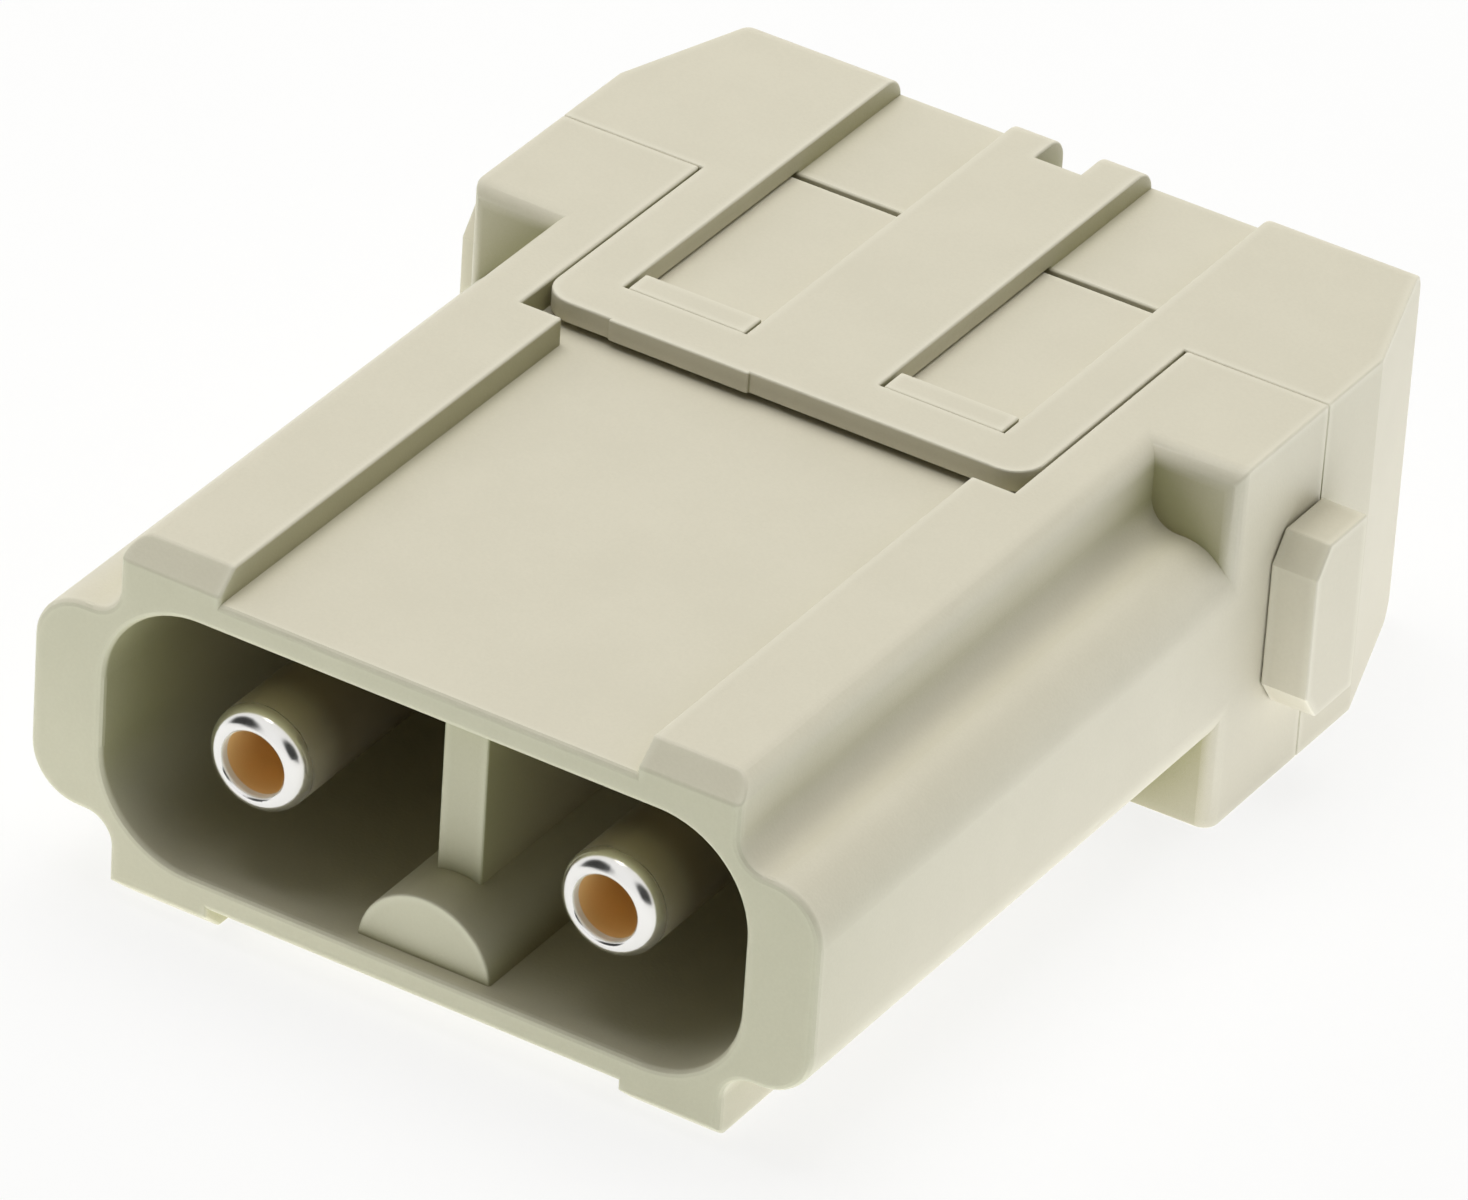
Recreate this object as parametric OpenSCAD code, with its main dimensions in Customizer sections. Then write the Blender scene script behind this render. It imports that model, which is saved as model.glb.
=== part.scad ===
// Two-pole power insert for a modular rectangular connector, pin side.
// The mating face looks along -Y and the wires enter from +Y. The insert lies on
// its underside, with the origin on that plane below the middle of its box.

/* [Module] */
// Thickness over rails, flange and wire end
module_t = 14.6; // [14:0.1:17]
// Width over flange and wings
flange_w = 31.6; // [30.6:0.1:36]
// Clearance on each side between pieces that fit together
fit = 0.05; // [0.02:0.01:0.1]

/* [Mating shroud] */
// Length from the mating face to the flange
shroud_l = 26.5; // [25.7:0.1:30]
// Width of the block between the wings
block_w = 24.8; // [24:0.1:25.4]
// Width of each corner rail
rail_w = 4.05; // [2:0.05:5]
// Radius along the outer edge of a rail
rail_r = 0.8; // [0.2:0.1:1]
// Length of the sloping lead-in of a rail
rail_lead = 0.9; // [0.2:0.1:2]
// Height of that lead-in
rail_lead_h = 0.8; // [0.2:0.1:1]
// Step from the seat of a latch tongue down to the panel ahead of it
panel_step = 0.2; // [0.1:0.05:0.3]
// Height of the side wings
wing_h = 8.3; // [8.1:0.1:10]
// Radius of the outer wing corners
wing_r = 2; // [0.5:0.1:2.3]
// Radius of the fillet between wing and block
wing_fillet = 1.1; // [0.3:0.1:1.4]

/* [Mating cavity] */
// Width of the cavity
cavity_w = 25.8; // [24:0.1:26.4]
// Height of the cavity
cavity_h = 10.2; // [9:0.1:10.4]
// Radius of the cavity corners
cavity_r = 3.7; // [3.3:0.1:4.4]
// Depth of the cavity
cavity_l = 20; // [15:0.1:20.6]
// Thickness of the wall between the poles
divider_t = 1.8; // [1:0.1:2.4]
// Setback of that wall from the mating face
divider_set = 2.7; // [0.5:0.1:6]
// Radius of the round keying rib on the cavity floor
rib_r = 2.7; // [1.5:0.1:3.4]
// How far the middle of the rib lies below that floor
rib_sink = 0.25; // [0:0.05:0.5]
// Setback of the rib from the mating face
rib_set = 0.7; // [0.2:0.1:4]

/* [Flange] */
// Length of the flange
flange_l = 6; // [4.8:0.1:9]
// Radius along its upper front edge
flange_edge_r = 0.8; // [0.3:0.1:1.6]
// Radius of its upright front corners
flange_corner_r = 0.6; // [0.3:0.1:2]

/* [Wire end] */
// Length from the flange to the rear edge
wire_end_l = 10; // [9.4:0.1:16]
// Length of the tapered part of the sides
taper_l = 6.3; // [2:0.1:8]
// Inset of the sides at the rear edge
taper_in = 2.05; // [0.5:0.05:3]
// Radius of the rear edges, above and below
rear_edge_r = 1; // [0.3:0.1:2]
// Width of the upright groove in the middle of the rear face
rear_groove_w = 1.9; // [0.8:0.1:3]
// Depth of that groove
rear_groove_l = 2.1; // [0.5:0.1:4]
// Length of the contact sleeve that plugs into the wire end
sleeve_l = 2.75; // [1:0.05:3.4]
// Gap left behind the end of the sleeve
sleeve_gap = 0.25; // [0.1:0.05:0.5]

/* [Latch tongues] */
// Width of a tongue
tongue_w = 19.9; // [17:0.1:21]
// Length of a tongue ahead of the wire end
tongue_l = 10.55; // [9.3:0.05:11]
// Depth of its seat, and of the grooves behind its windows
groove_drop = 0.9; // [0.7:0.05:1]
// Radius of its front corners
tongue_r = 1.2; // [0.3:0.1:1.8]
// Gap beside a tongue
tongue_gap = 0.1; // [0.05:0.05:0.4]
// Room in the recess ahead of a tongue
tongue_room = 0.85; // [0.3:0.05:3]
// Width of a latch window
window_w = 5.05; // [3:0.05:6]
// Distance between the middles of the two windows
window_pitch = 10.5; // [8:0.1:11]
// Length of the bar ahead of a window
window_bar = 2.1; // [1.2:0.05:3]
// How far part of the upper front edge steps forward
bar_step = 0.1; // [0.05:0.05:0.5]
// Width of that step
step_w = 5.75; // [2:0.05:7]
// Distance of the step from the middle, on the left
step_x = 1.25; // [0.5:0.05:2]
// How far the panel runs on below the front of a tongue
seat_lap = 1; // [0.5:0.1:1.1]
// Length of the catch in a window
catch_l = 1.2; // [0.6:0.1:2]
// Gap beside a catch
catch_gap = 0.12; // [0.05:0.01:0.3]

/* [Frame lugs] */
// Length of a lug along the module
lug_l = 3.3; // [2.4:0.05:4.5]
// Height of the right lug
lug_h = 7.1; // [6.4:0.1:9]
// Height of the left lug, which differs so that the insert fits one way round
tall_lug_h = 8.4; // [6.4:0.1:9]
// How far a lug stands out from the flange
lug_out = 1.9; // [0.8:0.1:3]
// Height of the bevels at its two front corners
lug_bevel = 1.1; // [0.2:0.1:1.5]
// Length of those bevels
lug_lead = 0.8; // [0.2:0.1:1.5]
// Thickness of the arm under a lug
arm_t = 2.4; // [1.2:0.1:2.6]
// How far a lug laps over the front end of the slot behind it
lug_lap = 0.5; // [0.3:0.05:0.7]
// Gap all round the arm in its slot
arm_gap = 0.1; // [0.05:0.05:0.3]
// Depth of the slot for the arm below the middle of the flange
slot_low = 2.65; // [2:0.05:3]

/* [Contacts] */
// Distance between the two pins
pin_pitch = 14.2; // [13.4:0.1:14.6]
// Diameter of a pin
pin_d = 4; // [3.8:0.1:4.3]
// Setback of the pin tip from the mating face
pin_set = 0.5; // [0:0.1:4]
// Length of the rounded nose
nose_l = 0.7; // [0.55:0.05:2]
// Diameter of the flat ring at the tip
nose_d = 2.9; // [2.8:0.05:3.6]
// Diameter of the bore that takes the key
key_bore_d = 2.5; // [2.4:0.05:2.6]
// Bevel at the mouth of that bore
mouth_bevel = 0.1; // [0.05:0.01:0.15]
// Wall that carries the pin behind the cavity
partition_t = 3; // [1.5:0.1:4]
// Step from the pin to the collar that seats in that wall
collar_step = 0.2; // [0.1:0.05:0.4]
// How far the collar shows in the cavity
collar_show = 0.3; // [0.1:0.1:1]
// Diameter of the barrel behind the pin
barrel_d = 8.1; // [7.8:0.1:8.6]
// How far the barrel reaches into the wire end past the sleeve
barrel_seat = 1.25; // [0.5:0.05:2]
// Bevel of the barrel ends
barrel_bevel = 0.3; // [0.1:0.1:0.6]
// Distance from the barrel front to the screw
screw_set = 2; // [1:0.1:3]
// Bore that the screw turns in
thread_d = 5.3; // [4.6:0.1:5.8]
// Length of that bore
thread_l = 5; // [4.5:0.1:6]
// Diameter of the wire chamber
chamber_d = 6; // [5.9:0.1:6.6]

/* [Axial cone screws] */
// Length of the threaded part
screw_l = 3.5; // [2.6:0.1:4]
// Key size across flats
socket_af = 2; // [1.5:0.1:2]
// Depth of the key socket
socket_l = 2; // [1:0.1:2.4]
// Largest diameter of the cone
cone_d = 3.2; // [2:0.1:4]
// Length of the cone
cone_l = 5; // [3:0.1:5.5]
// Diameter of the blunt cone tip
cone_tip_d = 0.4; // [0.2:0.1:1]

/* [Wire entries] */
// Diameter of an entry
entry_d = 7; // [6.2:0.1:7.6]
// Diameter of its funnel at the rear face
funnel_d = 9; // [8:0.1:10]
// Length of the funnel
funnel_l = 1.5; // [0.5:0.1:2]

/* [Hidden] */

$fn = 64;
// Overlap that joins solids, and run-out of cuts past a face
bite = 0.5;

plastic = "#d6cfbd";
plating = "#d3d3d0";
brass = "#b98a4e";

mid_z = module_t / 2;
seat_z = module_t - groove_drop;
panel_z = seat_z - panel_step;
panel_drop = module_t - panel_z;
split_y = shroud_l + flange_l;
module_l = split_y + wire_end_l;

sleeve_y = split_y + sleeve_l;
pocket_y = sleeve_y + sleeve_gap;
tongue_y = split_y - tongue_l;
recess_y = tongue_y - bar_step - tongue_room;
window_y = tongue_y + window_bar;
seat_y = tongue_y + seat_lap;

lug_y = split_y - lug_l;
arm_x = flange_w / 2 - arm_t;

shoulder_y = cavity_l + partition_t;
barrel_y = shoulder_y + fit;
barrel_end = pocket_y + barrel_seat;
collar_d = pin_d + 2 * collar_step;
screw_y = barrel_y + screw_set;
chamber_y = screw_y + thread_l;
nose_step = (pin_d - nose_d) / 2;
nose_r = (nose_step * nose_step + nose_l * nose_l) / (2 * nose_step);

// Profile drawn in X and Z, extruded along Y
module along_y(y0, y1) {
    translate([0, y1, 0])
        rotate([90, 0, 0])
            linear_extrude(y1 - y0)
                children();
}

// Profile drawn in Y and Z, extruded along X
module along_x(x0, x1) {
    translate([x0, 0, 0])
        rotate([90, 0, 90])
            linear_extrude(x1 - x0)
                children();
}

// Outline drawn in X and Y, extruded upwards
module along_z(z0, z1) {
    translate([0, 0, z0])
        linear_extrude(z1 - z0)
            children();
}

// Shape on the right and its mirror image on the left
module both_sides() {
    children();
    mirror([1, 0, 0])
        children();
}

// Shape on the top face and its mirror image on the underside
module both_faces() {
    children();
    translate([0, 0, module_t])
        mirror([0, 0, 1])
            children();
}

// Rectangle from one corner to the opposite one
module span(a, b) {
    translate(a)
        square(b - a);
}

// Rectangle about the origin with four round corners
module round_rect(w, h, r) {
    square([w - 2 * r, h], center = true);
    square([w, h - 2 * r], center = true);
    for (x = [-1, 1], y = [-1, 1])
        translate([x * (w / 2 - r), y * (h / 2 - r)])
            circle(r);
}

// Rectangle whose two corners at its lower edge are round
module round_foot(a, b, r) {
    span([a.x + r, a.y], [b.x - r, b.y]);
    span([a.x, a.y + r], b);
    for (x = [a.x + r, b.x - r])
        translate([x, a.y + r])
            circle(r);
}

// Solid of revolution about a line along +Y; the profile has radius and Y
module turned() {
    rotate([-90, 0, 0])
        rotate_extrude()
            children();
}

// Straight hole along Y on a contact axis
module drilled(d, y0, y1) {
    translate([0, y0, 0])
        rotate([-90, 0, 0])
            cylinder(h = y1 - y0, d = d);
}

// The right contact axis, moved from the drawing origin
module on_contact_axis() {
    translate([pin_pitch / 2, 0, mid_z])
        children();
}

// The drawing has Y = 0 at the mating face; the insert is centred along Y
module centred() {
    translate([0, -module_l / 2, 0])
        children();
}

// Block ahead of the tongue seats, and the sleeve that runs from there into the wire end
module shroud_block() {
    along_y(0, sleeve_y)
        span([-block_w / 2, panel_drop], [block_w / 2, panel_z]);
    along_y(seat_y, sleeve_y)
        span([-block_w / 2, groove_drop], [block_w / 2, seat_z]);
}

// Four corner rails with sloping front ends, cut to a bar with rounded edges; they run on
// past the rounded front edge of the flange
module rails() {
    rail_end = shroud_l + flange_edge_r;
    intersection() {
        both_faces()
            both_sides()
                along_x(block_w / 2 - rail_w, block_w / 2)
                    polygon([[0, mid_z], [0, module_t - rail_lead_h], [rail_lead, module_t],
                             [rail_end, module_t], [rail_end, mid_z]]);
        along_y(0, rail_end)
            translate([0, mid_z])
                round_rect(block_w, module_t, rail_r);
    }
}

module wing_profile() {
    translate([0, mid_z])
        round_rect(flange_w, wing_h, wing_r);
    both_sides()
        for (s = [-1, 1])
            translate([block_w / 2, mid_z + s * wing_h / 2])
                difference() {
                    span([-bite, min(0, s * wing_fillet)], [wing_fillet, max(0, s * wing_fillet)]);
                    translate([wing_fillet, s * wing_fillet])
                        circle(wing_fillet);
                }
}

// The wings run on past the rounded front corners of the flange
module wings() {
    along_y(0, shroud_l + flange_corner_r)
        wing_profile();
}

// Side profile with a rounded upper front edge, cut to a plan with rounded front corners
module flange() {
    intersection() {
        along_x(-flange_w / 2, flange_w / 2)
            rotate(-90)
                mirror([1, 0]) {
                    round_foot([0, shroud_l], [module_t, split_y], flange_edge_r);
                    span([0, shroud_l], [mid_z, split_y]);
                }
        along_z(0, module_t)
            round_foot([-flange_w / 2, shroud_l], [flange_w / 2, split_y], flange_corner_r);
    }
}

// Recess in the rails and the flange that a tongue lies in
module tongue_recesses() {
    both_faces()
        for (step = [[panel_z, recess_y, seat_y], [seat_z, recess_y, split_y + bite]])
            along_z(step[0], module_t + bite)
                span([-tongue_w / 2 - tongue_gap, step[1]], [tongue_w / 2 + tongue_gap, step[2]]);
}

// Side view of the slot behind a lug of height h, or of the arm that lies in it with a gap
module arm_outline(h, gap, rear) {
    span([lug_y + lug_lap + gap, mid_z - slot_low + gap], [rear, mid_z + h / 2 - lug_bevel - gap]);
}

// Slot in the right side of the flange for the arm of a lug
module arm_slot(h) {
    along_x(arm_x - arm_gap, flange_w / 2 + bite)
        arm_outline(h, 0, split_y + bite);
}

module cavity() {
    along_y(-bite, cavity_l)
        translate([0, mid_z])
            round_rect(cavity_w, cavity_h, cavity_r);
}

module divider() {
    along_y(divider_set, cavity_l + bite)
        translate([0, mid_z])
            square([divider_t, cavity_h + 2 * bite], center = true);
}

module keying_rib() {
    along_y(rib_set, cavity_l + bite)
        intersection() {
            translate([0, mid_z - cavity_h / 2 - rib_sink])
                circle(rib_r);
            span([-rib_r, mid_z - cavity_h / 2 - bite], [rib_r, mid_z]);
        }
}

module catches() {
    both_faces()
        both_sides()
            along_z(seat_z - bite, module_t - fit)
                span([window_pitch / 2 - window_w / 2 + catch_gap, window_y + fit],
                     [window_pitch / 2 + window_w / 2 - catch_gap, window_y + fit + catch_l]);
}

module front_body() {
    color(plastic)
        centred()
            difference() {
                union() {
                    difference() {
                        union() {
                            shroud_block();
                            rails();
                            wings();
                            flange();
                        }
                        cavity();
                        tongue_recesses();
                        arm_slot(lug_h);
                        mirror([1, 0, 0])
                            arm_slot(tall_lug_h);
                    }
                    divider();
                    keying_rib();
                    catches();
                }
                both_sides()
                    on_contact_axis() {
                        drilled(collar_d + 2 * fit, cavity_l - bite, shoulder_y + bite);
                        drilled(barrel_d + 2 * fit, shoulder_y, sleeve_y + bite);
                    }
            }
}

// Lug of height h with two bevelled front corners, and the arm that carries it
module lug_arm(h) {
    low = mid_z - h / 2;
    high = mid_z + h / 2;
    along_x(flange_w / 2 + fit, flange_w / 2 + lug_out)
        polygon([[split_y, low], [lug_y + lug_lead, low], [lug_y, low + lug_bevel],
                 [lug_y, high - lug_bevel], [lug_y + lug_lead, high], [split_y, high]]);
    along_x(arm_x, flange_w / 2 + bite)
        arm_outline(h, arm_gap, split_y);
    along_x(arm_x, flange_w / 2)
        arm_outline(h, arm_gap, split_y + bite);
}

// Plan with tapered sides, cut to a side profile with rounded rear edges
module wire_end_blank() {
    intersection() {
        along_z(0, module_t)
            polygon([[-flange_w / 2, split_y], [flange_w / 2, split_y],
                     [flange_w / 2, module_l - taper_l], [flange_w / 2 - taper_in, module_l],
                     [taper_in - flange_w / 2, module_l], [-flange_w / 2, module_l - taper_l]]);
        along_x(-flange_w / 2, flange_w / 2)
            rotate(90)
                round_foot([0, -module_l], [module_t, -split_y], rear_edge_r);
    }
}

module tongues() {
    both_faces()
        along_z(seat_z + fit, module_t)
            round_foot([-tongue_w / 2, tongue_y], [tongue_w / 2, split_y + bite], tongue_r);
    along_z(seat_z + fit, module_t)
        span([-step_x - step_w, tongue_y - bar_step], [-step_x, tongue_y + bite]);
}

// Latch windows in the tongues, running out as grooves to the rear edge
module latch_windows() {
    both_faces()
        both_sides()
            along_z(seat_z, module_t + bite)
                span([window_pitch / 2 - window_w / 2, window_y],
                     [window_pitch / 2 + window_w / 2, module_l + bite]);
}

module wire_entry() {
    drilled(barrel_d + 2 * fit, pocket_y - bite, barrel_end + fit);
    drilled(entry_d, pocket_y, module_l + bite);
    translate([0, module_l - funnel_l, 0])
        rotate([-90, 0, 0])
            cylinder(h = funnel_l + bite, d1 = entry_d,
                     d2 = entry_d + (funnel_d - entry_d) * (funnel_l + bite) / funnel_l);
}

module rear_body() {
    color(plastic)
        centred()
            difference() {
                union() {
                    wire_end_blank();
                    tongues();
                    lug_arm(lug_h);
                    mirror([1, 0, 0])
                        lug_arm(tall_lug_h);
                }
                along_y(split_y - bite, pocket_y)
                    span([-block_w / 2 - fit, groove_drop - fit],
                         [block_w / 2 + fit, seat_z + fit]);
                latch_windows();
                both_sides()
                    on_contact_axis()
                        wire_entry();
                along_z(-bite, module_t + bite)
                    span([-rear_groove_w / 2, module_l - rear_groove_l],
                         [rear_groove_w / 2, module_l + bite]);
            }
}

// Outline of a contact: nose that runs tangent into the pin, collar and barrel
module contact_outline() {
    intersection() {
        translate([pin_d / 2 - nose_r, pin_set + nose_l])
            circle(nose_r);
        span([0, pin_set], [pin_d / 2, pin_set + nose_l]);
    }
    span([0, pin_set], [nose_d / 2, pin_set + nose_l]);
    span([0, pin_set + nose_l], [pin_d / 2, cavity_l]);
    span([0, cavity_l - collar_show], [collar_d / 2, barrel_y + bite]);
    polygon([[0, barrel_y], [barrel_d / 2 - barrel_bevel, barrel_y],
             [barrel_d / 2, barrel_y + barrel_bevel], [barrel_d / 2, barrel_end - barrel_bevel],
             [barrel_d / 2 - barrel_bevel, barrel_end], [0, barrel_end]]);
}

// Bores from the tip: bevelled mouth, key bore, screw bore and wire chamber
module contact_bores() {
    mouth_y = pin_set + mouth_bevel;
    polygon([[0, pin_set - bite], [key_bore_d / 2 + mouth_bevel + bite, pin_set - bite],
             [key_bore_d / 2, mouth_y], [key_bore_d / 2, screw_y], [thread_d / 2, screw_y],
             [thread_d / 2, chamber_y], [chamber_d / 2, chamber_y],
             [chamber_d / 2, barrel_end + bite], [0, barrel_end + bite]]);
}

module contact() {
    color(plating)
        centred()
            on_contact_axis()
                turned()
                    difference() {
                        contact_outline();
                        contact_bores();
                    }
}

module contact_right() {
    contact();
}

module contact_left() {
    mirror([1, 0, 0])
        contact();
}

// Threaded slug with a key socket facing the pin and a cone towards the wire
module axial_cone() {
    front = screw_y + fit;
    color(brass)
        centred()
            on_contact_axis()
                difference() {
                    turned()
                        polygon([[0, front], [thread_d / 2 - fit, front],
                                 [thread_d / 2 - fit, front + screw_l],
                                 [cone_d / 2, front + screw_l],
                                 [cone_tip_d / 2, front + screw_l + cone_l],
                                 [0, front + screw_l + cone_l]]);
                    translate([0, front - bite, 0])
                        rotate([-90, 0, 0])
                            cylinder(h = socket_l + bite, d = socket_af / cos(30), $fn = 6);
                }
}

module axial_cone_right() {
    axial_cone();
}

module axial_cone_left() {
    mirror([1, 0, 0])
        axial_cone();
}

front_body();
rear_body();
contact_left();
contact_right();
axial_cone_left();
axial_cone_right();
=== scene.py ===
import math

import bpy
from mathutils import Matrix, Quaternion, Vector


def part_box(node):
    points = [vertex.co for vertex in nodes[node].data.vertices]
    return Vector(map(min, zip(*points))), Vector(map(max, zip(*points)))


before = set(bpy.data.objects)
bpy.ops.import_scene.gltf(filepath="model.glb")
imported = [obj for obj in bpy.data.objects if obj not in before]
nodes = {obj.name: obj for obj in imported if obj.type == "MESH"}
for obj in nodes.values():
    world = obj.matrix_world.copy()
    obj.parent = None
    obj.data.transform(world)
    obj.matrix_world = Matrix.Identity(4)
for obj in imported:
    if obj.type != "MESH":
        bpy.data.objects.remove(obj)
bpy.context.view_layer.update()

# Front body: the half that carries the mating shroud, the keying wings and the flange.
# Injection-moulded pebble-grey polycarbonate with a fine spark-eroded skin and small edge
# radii; it is one moulding, and every other piece goes in from its rear.
mm = 0.001
mid_z = 7.3 * mm
mating_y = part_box("front_body")[0][1]
lip_depth = 0.1 * mm
lip_half_height = 6.3 * mm


class Wire:
    """An output socket in a node tree; arithmetic on it adds Math nodes."""

    def __init__(self, graph, socket):
        self.graph = graph
        self.socket = socket

    def maths(self, operation, *values):
        return self.graph.node("ShaderNodeMath", {"operation": operation}, dict(enumerate(values)))

    def sibling(self, output):
        return Wire(self.graph, self.socket.node.outputs[output])

    def at_most(self, value):
        return self.maths("MINIMUM", self, value)

    def at_least(self, value):
        return self.maths("MAXIMUM", self, value)

    def __add__(self, value):
        return self.maths("ADD", self, value)

    def __sub__(self, value):
        return self.maths("SUBTRACT", self, value)

    def __rsub__(self, value):
        return self.maths("SUBTRACT", value, self)

    def __mul__(self, value):
        return self.maths("MULTIPLY", self, value)

    def __lt__(self, value):
        return self.maths("LESS_THAN", self, value)

    def __gt__(self, value):
        return self.maths("GREATER_THAN", self, value)

    def __abs__(self):
        return self.maths("ABSOLUTE", self)

    __radd__ = __add__
    __rmul__ = __mul__


class Graph:
    """A node tree, with a way to add any node to it."""

    def __init__(self, tree):
        self.tree = tree

    def main(self, name):
        return self.tree.nodes[name]

    def fill(self, node, sockets):
        for key, value in sockets.items():
            if isinstance(value, Wire):
                self.tree.links.new(value.socket, node.inputs[key])
            else:
                node.inputs[key].default_value = value

    def node(self, kind, settings, sockets, output=0):
        made = self.tree.nodes.new(kind)
        for key, value in settings.items():
            setattr(made, key, value)
        self.fill(made, sockets)
        return Wire(self, made.outputs[output])

    def place(self):
        return self.node("ShaderNodeTexCoord", {}, {}, "Object")

    def axis(self, vector, name):
        return self.node("ShaderNodeSeparateXYZ", {}, {0: vector}, name)

    def measure(self, operation, *vectors):
        settings = {"operation": operation}
        return self.node("ShaderNodeVectorMath", settings, dict(enumerate(vectors)), "Value")

    def noise(self, where, scale, detail):
        return self.node("ShaderNodeTexNoise", {}, {"Vector": where, "Scale": scale, "Detail": detail})

    def blend(self, factor, first, second):
        return self.node("ShaderNodeMix", {"data_type": "RGBA"}, {0: factor, 6: first, 7: second}, 2)

    def ramp(self, value, low, high):
        sockets = {"Value": value, "From Min": low, "From Max": high}
        return self.node("ShaderNodeMapRange", {"interpolation_type": "SMOOTHSTEP"}, sockets)

    def openness(self, reach, samples, inside=False):
        settings = {"samples": samples, "inside": inside, "only_local": True}
        return self.node("ShaderNodeAmbientOcclusion", settings, {"Distance": reach}, "AO")

    def bump(self, height, depth):
        return self.node("ShaderNodeBump", {}, {"Height": height, "Distance": depth, "Strength": 1.0})


def new_finish(name):
    material = bpy.data.materials.new(name)
    material.use_nodes = True
    return material, Graph(material.node_tree)


def moulded_plastic(name):
    pebble_grey = (0.640, 0.605, 0.495, 1)
    pale_grey = (0.668, 0.632, 0.520, 1)
    painted_edge_highlight = (0.760, 0.730, 0.620, 1)
    olive_painted_shade = (0.39, 0.375, 0.21, 1)
    brown_painted_shade = (0.47, 0.40, 0.28, 1)
    edge_reach = 0.4 * mm
    hollow_reach = 25 * mm
    grain_depth = 0.006 * mm
    material, skin = new_finish(name)
    where = skin.place()
    clouds = skin.noise(where, 320, 3)
    grain = skin.noise(where, 9000, 2)
    mottle = skin.ramp(clouds * 0.5 + grain * 0.5, 0.3, 0.7)
    colour = skin.blend(mottle, pebble_grey, pale_grey)
    # Painted highlight: convex edges are blended towards a lighter colour, standing in for light caught
    # on the rounded edges.
    edge = skin.ramp(skin.openness(edge_reach, 4, inside=True), 1.0, 0.5)
    colour = skin.blend(edge * 0.8, colour, painted_edge_highlight)
    # Painted shade: hollows, creases and the deep cavity are blended towards olive and then brown,
    # mostly on steep and downward faces, standing in for the shade that falls there.
    hollow = skin.openness(hollow_reach, 6)
    facing = skin.node("ShaderNodeNewGeometry", {}, {}, "Normal")
    steep = 1 - skin.ramp(skin.axis(facing, "Z"), 0.0, 0.7) * 0.75
    colour = skin.blend(skin.ramp(hollow, 0.86, 0.42) * steep, colour, olive_painted_shade)
    colour = skin.blend(skin.ramp(hollow, 0.30, 0.05) * steep, colour, brown_painted_shade)
    skin.fill(skin.main("Principled BSDF"), {
        "Base Color": colour,
        "Roughness": 0.40 + grain * 0.14,
        "Normal": skin.bump(grain * 0.8 + clouds * 0.2, grain_depth),
        "Specular IOR Level": 0.3,
    })
    return material


def rounded(piece, radius, lip_radius=None, on_lip=None):
    """Round the outward edges by radius, and by lip_radius where on_lip(y, z) holds."""
    sharp_bend = math.radians(40)
    weld = piece.modifiers.new("weld", "WELD")
    weld.merge_threshold = 0.0001 * mm
    flat = piece.modifiers.new("flat faces", "DECIMATE")
    flat.decimate_type = "DISSOLVE"
    flat.angle_limit = math.radians(0.5)
    tree = bpy.data.node_groups.new(piece.name + "_edges", "GeometryNodeTree")
    for way in ("INPUT", "OUTPUT"):
        tree.interface.new_socket("Geometry", in_out=way, socket_type="NodeSocketGeometry")
    edges = Graph(tree)
    bend = edges.node("GeometryNodeInputMeshEdgeAngle", {}, {}, "Signed Angle")
    weight = bend > sharp_bend
    if on_lip:
        along = edges.axis(edges.node("GeometryNodeInputPosition", {}, {}), "Y")
        share = radius / lip_radius
        weight = weight * (share + on_lip(along, along.sibling("Z")) * (1 - share))
    weighted = edges.node("GeometryNodeStoreNamedAttribute", {"domain": "EDGE"}, {
        "Geometry": edges.node("NodeGroupInput", {}, {}),
        "Name": "bevel_weight_edge",
        "Value": weight,
    })
    creased = edges.node("GeometryNodeStoreNamedAttribute", {"data_type": "BOOLEAN", "domain": "EDGE"}, {
        "Geometry": weighted,
        "Name": "sharp_edge",
        "Value": bend < -sharp_bend,
    })
    edges.fill(tree.nodes.new("NodeGroupOutput"), {0: creased})
    marks = piece.modifiers.new("edge weights", "NODES")
    marks.node_group = tree
    bevel = piece.modifiers.new("edge radius", "BEVEL")
    bevel.width = lip_radius or radius
    bevel.segments = 3
    bevel.limit_method = "WEIGHT"
    bevel.use_clamp_overlap = False
    shade = piece.modifiers.new("shading", "WEIGHTED_NORMAL")
    shade.weight = 60
    shade.keep_sharp = True


def dress(piece, finish):
    piece.data.materials.clear()
    piece.data.materials.append(finish)


def on_mating_lip(y, z):
    return (y < mating_y + lip_depth) * (abs(z - mid_z) < lip_half_height)


rounded(nodes["front_body"], 0.10 * mm, lip_radius=0.24 * mm, on_lip=on_mating_lip)
dress(nodes["front_body"], moulded_plastic("front_plastic"))

# Contacts: a pair of turned copper-alloy power pins with a domed, keyed nose and a wide
# rear barrel. They are silver plated, with painted reflection and painted shade on the shank that
# darken it with depth, while the key bore shows the bare alloy; each is pushed into the front
# body from behind and held by the rear body.
pin_x = 7.1 * mm
bore_r = 1.28 * mm
tip_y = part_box("contact_right")[0][1]


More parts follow.
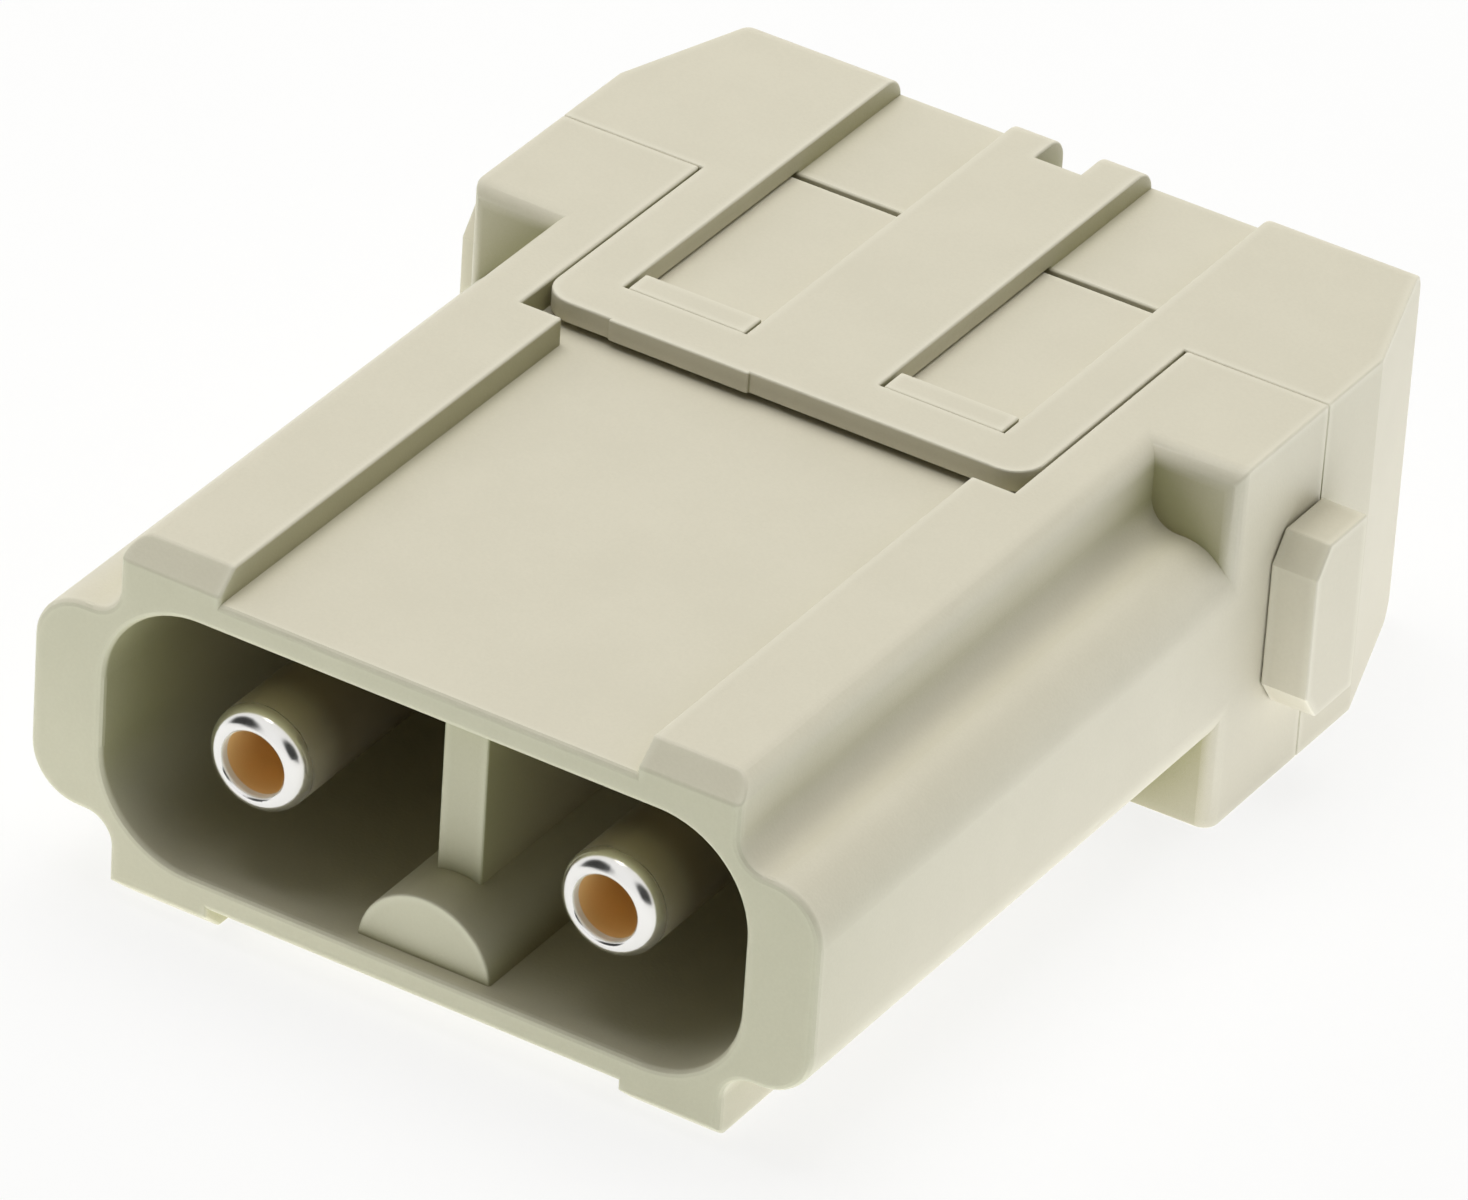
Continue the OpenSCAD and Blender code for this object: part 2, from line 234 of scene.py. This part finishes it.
def plated_pin(name, x):
    dull_silver = (0.86, 0.85, 0.82, 1)
    bright_silver = (0.94, 0.93, 0.91, 1)
    tan_painted_reflection = (0.74, 0.67, 0.53, 1)
    brown_painted_shank_shade = (0.26, 0.215, 0.15, 1)
    dull_copper = (0.92, 0.63, 0.29, 1)
    bright_copper = (0.97, 0.69, 0.33, 1)
    turning_depth = 0.0004 * mm
    material, metal = new_finish(name)
    where = metal.place()
    along = metal.axis(where, "Y")
    across = metal.node("ShaderNodeVectorMath", {"operation": "MULTIPLY_ADD"},
                        {0: where, 1: (1, 0, 1), 2: (-x, 0, -mid_z)})
    bore = metal.ramp(metal.measure("LENGTH", across), bore_r + 0.02 * mm, bore_r)
    bare = bore * metal.ramp(along, tip_y + 0.35 * mm, tip_y + 0.4 * mm)
    mouth = bore - bare
    # Painted reflection and shade: behind the nose the silver is blended towards tan and then brown with
    # depth, and made less metallic, standing in for the dark cavity that the shank sits in and mirrors.
    shaded_shank = (1 - bore) * metal.ramp(along, tip_y + 0.05 * mm, tip_y + 1.2 * mm)
    shank = metal.ramp(along, tip_y + 0.4 * mm, tip_y + 3.0 * mm)
    rings = metal.node("ShaderNodeTexNoise", {"noise_dimensions": "1D"},
                       {"W": along * 20000, "Scale": 1.0, "Detail": 2})
    haze = metal.noise(where, 700, 3)
    silver = metal.blend(haze, dull_silver, bright_silver)
    copper = metal.blend(haze, dull_copper, bright_copper)
    painted_shank_colour = metal.blend(shank, tan_painted_reflection, brown_painted_shank_shade)
    metal.fill(metal.main("Principled BSDF"), {
        "Base Color": metal.blend(bare, metal.blend(shaded_shank, silver, painted_shank_colour), copper),
        "Metallic": 1 - bare * 0.85 - mouth * 0.8 - shaded_shank * 0.4,
        "Roughness": 0.12 + haze * 0.08 + bore * 0.28 + shaded_shank * 0.16,
        "Normal": metal.bump(rings, turning_depth),
    })
    return material


for side, x in (("left", -pin_x), ("right", pin_x)):
    contact = nodes["contact_" + side]
    rounded(contact, 0.06 * mm)
    dress(contact, plated_pin("plated_" + side, x))

# Axial cone screws: small turned brass screws with a hex socket and a long cone, run in
# from the mating side through the pin's bore so that the cone spreads the wire's strands.


def turned_brass(name):
    dark_brass = (0.55, 0.36, 0.13, 1)
    clean_brass = (0.68, 0.47, 0.20, 1)
    turning_depth = 0.002 * mm
    material, metal = new_finish(name)
    where = metal.place()
    haze = metal.noise(where, 900, 4)
    stretched = metal.node("ShaderNodeVectorMath", {"operation": "MULTIPLY"}, {0: where, 1: (1, 30, 1)})
    metal.fill(metal.main("Principled BSDF"), {
        "Base Color": metal.blend(haze, dark_brass, clean_brass),
        "Metallic": 1.0,
        "Roughness": 0.24 + haze * 0.16,
        "Normal": metal.bump(metal.noise(stretched, 600, 2), turning_depth),
    })
    return material


brass = turned_brass("cone_brass")
for side in ("left", "right"):
    cone = nodes["axial_cone_" + side]
    rounded(cone, 0.04 * mm)
    dress(cone, brass)

# Rear body: the wire end with a latch tongue on each face and a lug arm on each side.
# The same grey polycarbonate from its own mould; it is pushed into the flange from behind
# and its tongue windows catch on the front body.
rounded(nodes["rear_body"], 0.08 * mm)
dress(nodes["rear_body"], moulded_plastic("rear_plastic"))

# Floor: a wide sheet of white paper that the insert lies on, lit from below like a light
# table. The light is strongest by the part, weaker in front of it and far from it; the
# camera sees clean white paper with the part's soft shadow.
near_left = (0.86, 0.88, 0.85, 1)
near_right = (0.91, 0.93, 1.0, 1)
fore_left = (0.80, 0.85, 0.74, 1)
fore_right = (0.55, 0.61, 0.52, 1)
far_back = (0.55, 0.57, 0.57, 1)
far_front = (0.34, 0.41, 0.32, 1)
grey_paper = (0.90, 0.90, 0.90, 1)
white_paper = (0.93, 0.93, 0.93, 1)
black = (0, 0, 0, 1)
white = (1, 1, 1, 1)
bpy.ops.mesh.primitive_plane_add(size=4.0, location=(0, 0, 0))
floor = bpy.context.object
floor.name = "floor"
paper, sheet = new_finish("paper")
where = sheet.place()
ahead = sheet.axis(where, "Y")
beside = ahead.sibling("X")
near = sheet.blend(sheet.ramp(beside, 0 * mm, 30 * mm), near_left, near_right)
fore = sheet.blend(sheet.ramp(beside, -18 * mm, 12 * mm), fore_left, fore_right)
near = sheet.blend(sheet.ramp(ahead, -18 * mm, -24 * mm), near, fore)
far = sheet.blend(sheet.ramp(ahead, 20 * mm, -30 * mm), far_back, far_front)
cast = sheet.blend(sheet.ramp(sheet.measure("LENGTH", where), 32 * mm, 65 * mm), near, far)
viewed = sheet.node("ShaderNodeLightPath", {}, {}, "Is Camera Ray")
seen = (viewed + viewed.sibling("Is Glossy Ray") + viewed.sibling("Is Transmission Ray")).at_most(1.0)
surface = sheet.main("Principled BSDF")
sheet.fill(surface, {
    "Base Color": sheet.blend(sheet.noise(where, 400, 3), grey_paper, white_paper),
    "Roughness": 0.9,
    "Specular IOR Level": 0.1,
    "Emission Color": sheet.blend(seen, cast, black),
    "Emission Strength": 1.2,
})
shown = sheet.node("ShaderNodeMixShader", {}, {
    0: seen * 0.8,
    1: Wire(sheet, surface.outputs[0]),
    2: sheet.node("ShaderNodeEmission", {}, {"Color": white, "Strength": 1.0}),
})
sheet.fill(sheet.main("Material Output"), {"Surface": shown})
floor.data.materials.append(paper)

# Light: a dim warm-white tent, brightest overhead and dark on the camera's side, with soft
# boxes above, at the right rear and at the left. Polished metal mirrors a bright tent with
# two dark openings in front, which put the dark marks on the pins' noses.
warm_white = (1.0, 0.98, 0.84, 1)
camera_side = (0.45, -0.85, 0.28)
dark_openings = ((0.71, -0.66, 0.25), (-0.67, -0.70, 0.25))
world = bpy.data.worlds.new("tent")
bpy.context.scene.world = world
world.use_nodes = True
tent = Graph(world.node_tree)
viewed = tent.node("ShaderNodeLightPath", {}, {}, "Is Camera Ray")
mirrored = (viewed.sibling("Is Glossy Ray") + viewed.sibling("Is Transmission Ray")).at_most(1.0)
heading = tent.node("ShaderNodeTexCoord", {}, {}, "Generated")
dark = tent.ramp(tent.measure("DOT_PRODUCT", heading, camera_side), 0.0, 0.9)
marks = [tent.ramp(tent.measure("DOT_PRODUCT", heading, way), 0.88, 0.96) for way in dark_openings]
soft = (0.15 + tent.axis(heading, "Z") * 0.42) * (1 - dark * 0.9)
sharp = 0.9 * (1 - (marks[0] + marks[1]) * 0.96)
tent.fill(tent.main("Background"), {
    "Color": tent.blend((viewed + mirrored).at_most(1.0), warm_white, white),
    "Strength": (soft + mirrored * (sharp - soft)).at_least(viewed),
})


def soft_box(name, where, width, watts):
    lamp = bpy.data.lights.new(name, "AREA")
    lamp.shape = "SQUARE"
    lamp.size = width
    lamp.energy = watts
    box = bpy.data.objects.new(name, lamp)
    box.location = where
    box.rotation_euler = Vector(where).to_track_quat("Z", "Y").to_euler()
    bpy.context.collection.objects.link(box)


soft_box("lamp_top", (-0.06, 0.06, 0.50), 0.40, 1.95)
soft_box("lamp_right", (0.25, 0.45, 0.10), 0.25, 0.35)
soft_box("lamp_left", (-0.45, 0.10, 0.20), 0.25, 0.25)

# Camera: a long lens from the front right and above, rolled a little, as in the photograph.
# Its place and lens were fitted to the straight edges of the part.
lens_back = Vector((0.42431, -0.72612, 0.54108))
lens_distance = 462.37 * mm
aim = Vector((0, -1.05 * mm, mid_z))
roll = Quaternion((0, 0, 1), math.radians(3.95))
lens = bpy.data.cameras.new("camera")
lens.sensor_width = 36.0
lens.lens = 327.47
lens.shift_x = -0.00462
lens.shift_y = -0.01087
lens.clip_start = 0.01
camera = bpy.data.objects.new("camera", lens)
camera.location = aim + lens_back * lens_distance
camera.rotation_euler = (lens_back.to_track_quat("Z", "Y") @ roll).to_euler()
bpy.context.collection.objects.link(camera)
bpy.context.scene.camera = camera
bpy.context.scene.view_settings.view_transform = "Standard"
